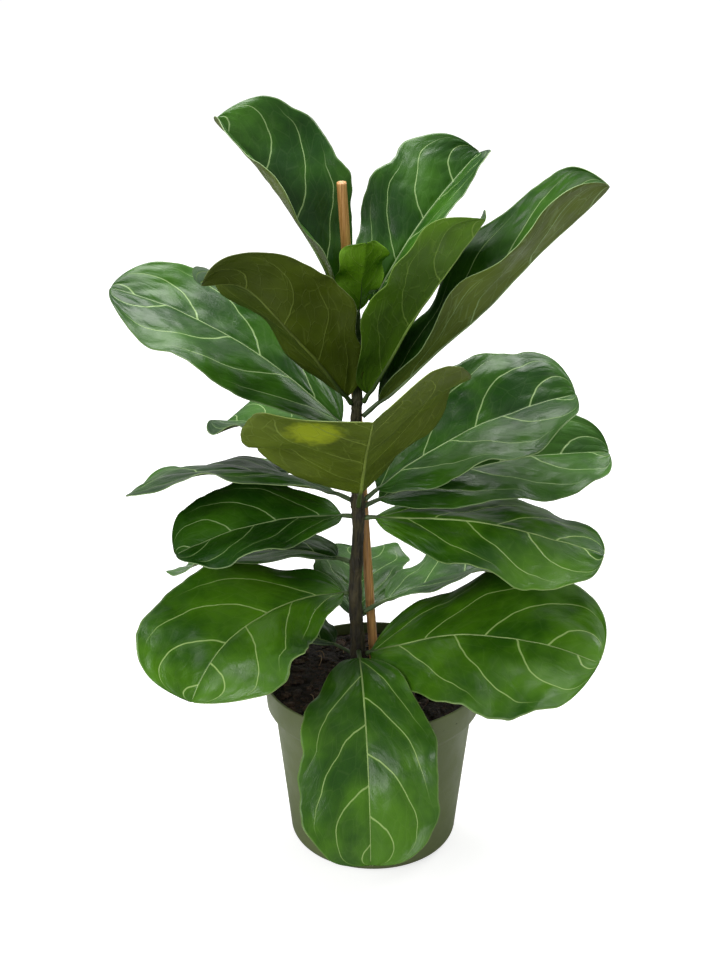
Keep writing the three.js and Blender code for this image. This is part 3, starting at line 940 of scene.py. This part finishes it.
def half_width(leaf, along, side):
    rounded = (1 - (1 - along / WIDEST_AT) ** 2) ** SWELL_POWER if along < WIDEST_AT else 1
    lobe = BASE_LOBE * math.sqrt(min(1, along / LOBE_FULL_AT))
    swell = lobe + (1 - lobe) * rounded
    apex = math.sqrt(1 - along ** leaf["blunt"])
    turn = math.tau * RIPPLES * along + math.radians(leaf["phase"] + side * RIPPLE_LEAD)
    ripple = 1 + RIPPLE_SIZE * math.sin(turn)
    seed = leaf["height"] + 7 * side
    nibbled = 1 + EDGE_UNEVENNESS * (noise.noise(Vector((along * 8, 0, seed)))
                                     + 0.18 * noise.noise(Vector((along * 24, 9, seed))))
    return leaf["width"] / 2 * max(NARROWEST, swell * apex * ripple * nibbled)


def steadiness(leaf, along):
    """1 on most of the blade, and down to 0 at the apex, where it is too narrow to wave."""
    return min(1, 1.6 * math.sqrt(1 - along ** leaf["blunt"]))


def blade_point(leaf, place, along, across):
    """A point of the blade, with place as leaf_frame gives it there."""
    origin, right, up = place
    side = (across > 0) - (across < 0)
    reach = abs(across)
    fold = leaf["right"] if side > 0 else leaf["left"]
    angle = math.radians(fold + leaf["cup"] * reach)
    half = half_width(leaf, along, side) * reach
    turn = math.tau * WAVES * along + math.radians(leaf["phase"] + (WAVE_LEAD if side > 0 else 0))
    wave = leaf["wave"] * reach ** 2 * min(1, along / WAVES_FULL_AT) * math.sin(turn)
    wave *= steadiness(leaf, along)
    return origin + right * (side * half * math.cos(angle)) + up * (half * math.sin(angle) + wave)


def vein_turns(along, across):
    """Counts side veins: whole numbers lie on a vein."""
    reach = abs(across)
    start = along - VEIN_LEAN * reach - VEIN_BEND * reach ** 3
    return start / VEIN_SPACING + (0.5 if across > 0 else 0)


def blade_relief(leaf, along, across):
    """How far the blade stands up from its smooth form: quilted between the side veins,
    frilled at the margin and a little uneven all over."""
    reach = abs(across)
    quilt = abs(math.sin(math.pi * vein_turns(along, across)))
    quilt = (QUILT_HEIGHT * math.sqrt(quilt) * smoothstep(reach, 0, 0.35)
             * (1 - smoothstep(reach, 0.5, 0.85)))
    groove = -MIDRIB_GROOVE * hump(reach * leaf["width"] / 2, MIDRIB_GROOVE_SPREAD)
    seed = leaf["height"] + leaf["heading"]
    frill = FRILL_HEIGHT * noise.noise(Vector((along * 9, across * 1.5, seed)))
    frill *= smoothstep(reach, 0.45, 1)
    uneven = BLADE_UNEVENNESS * noise.noise(Vector((along * 3.4, across * 2.2, seed + 50)))
    pucker = PUCKER_HEIGHT * noise.noise(Vector((along * 15, across * 7, seed + 90)))
    small = min(1, leaf["length"] / 200) * steadiness(leaf, along)
    return (quilt + groove + (frill + uneven + pucker) * smoothstep(along, 0, 0.15)) * small


def make_blade(leaf, spine, materials):
    mesh = bmesh.new()
    bmesh.ops.create_grid(mesh, x_segments=BLADE_COLUMNS, y_segments=BLADE_ROWS, size=0.5)
    spots = []
    rows = {}
    for vert in mesh.verts:
        across = math.copysign(abs(2 * vert.co.x) ** MIDRIB_CROWDING, vert.co.x)
        along = 1 - (0.5 - vert.co.y) ** APEX_CROWDING
        spots.append((along, across))
        if along not in rows:
            share = (leaf["petiole"] + along * leaf["length"]) / (leaf["petiole"] + leaf["length"])
            rows[along] = leaf_frame(leaf, spine, share)
    for vert, (along, across) in zip(mesh.verts, spots):
        vert.co = blade_point(leaf, rows[along], along, across)
    mesh.normal_update()
    moves = [vert.normal * blade_relief(leaf, *spot) for vert, spot in zip(mesh.verts, spots)]
    for vert, move in zip(mesh.verts, moves):
        vert.co = (vert.co + move) * MM
    uv = mesh.loops.layers.uv.new("UVMap")
    for face in mesh.faces:
        for loop in face.loops:
            along, across = spots[loop.vert.index]
            loop[uv].uv = ((across + 1) / 2, along)
    blade = finished(leaf["name"] + "_blade", mesh, materials)
    shell = blade.modifiers.new("thickness", "SOLIDIFY")
    shell.thickness = BLADE_THICKNESS * MM
    shell.offset = -1
    shell.material_offset = UNDER_SLOT
    shell.material_offset_rim = RIB_SLOT
    settle(blade)
    return blade


def add_rib(mesh, leaf, spine):
    """The petiole, and the midrib that it becomes, sunk into the blade from below."""
    whole = leaf["petiole"] + leaf["length"]
    start = leaf["petiole"] / whole
    small = min(1, leaf["length"] / 160)

    def place(share, angle):
        run = share * RIB_END
        origin, right, up = leaf_frame(leaf, spine, run)
        inside = smoothstep(run, start - 0.01, start + 0.04)
        along = max(0, run * whole - leaf["petiole"]) / leaf["length"]
        slimmed = max(0, run - start * 0.5) ** RIB_TAPER
        radius = small * lerp(PETIOLE_RADIUS, RIB_TIP_RADIUS, slimmed)
        lift = inside * (blade_relief(leaf, along, 0) - MIDRIB_SINK * radius)
        return (origin + up * (radius * math.sin(angle) + lift)
                + right * (radius * math.cos(angle)))

    return add_tube(mesh, sides=14, rings=90, place=place)


def make_leaf(name, row, materials):
    leaf = {**LEAF_DEFAULTS, **row, "name": name}
    spine = leaf_spine(leaf)
    blade = make_blade(leaf, spine, materials[leaf["tone"]])
    mesh = bmesh.new()
    mesh.from_mesh(blade.data)
    for face in add_rib(mesh, leaf, spine):
        face.material_index = RIB_SLOT
    bpy.data.objects.remove(blade)
    piece = finished(name + "_fine", mesh, materials[leaf["tone"]])
    stand_for(piece, name)


# ---- the whole plant ----

set_camera()
set_studio()
make_floor()
make_pot()
soil = soil_material()
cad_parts["soil"].data.materials.clear()
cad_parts["soil"].data.materials.append(soil)
make_soil(soil)
make_bark_chips()
make_fibres()
make_stem()
make_cane()
veins = vein_group()
leaf_materials = {
    tone: [upper_material(tone, veins), under_material(tone, veins), rib_material(tone)]
    for tone in LEAF_TONES
}
for leaf_name, leaf_row in LEAVES.items():
    make_leaf(leaf_name, leaf_row, leaf_materials)
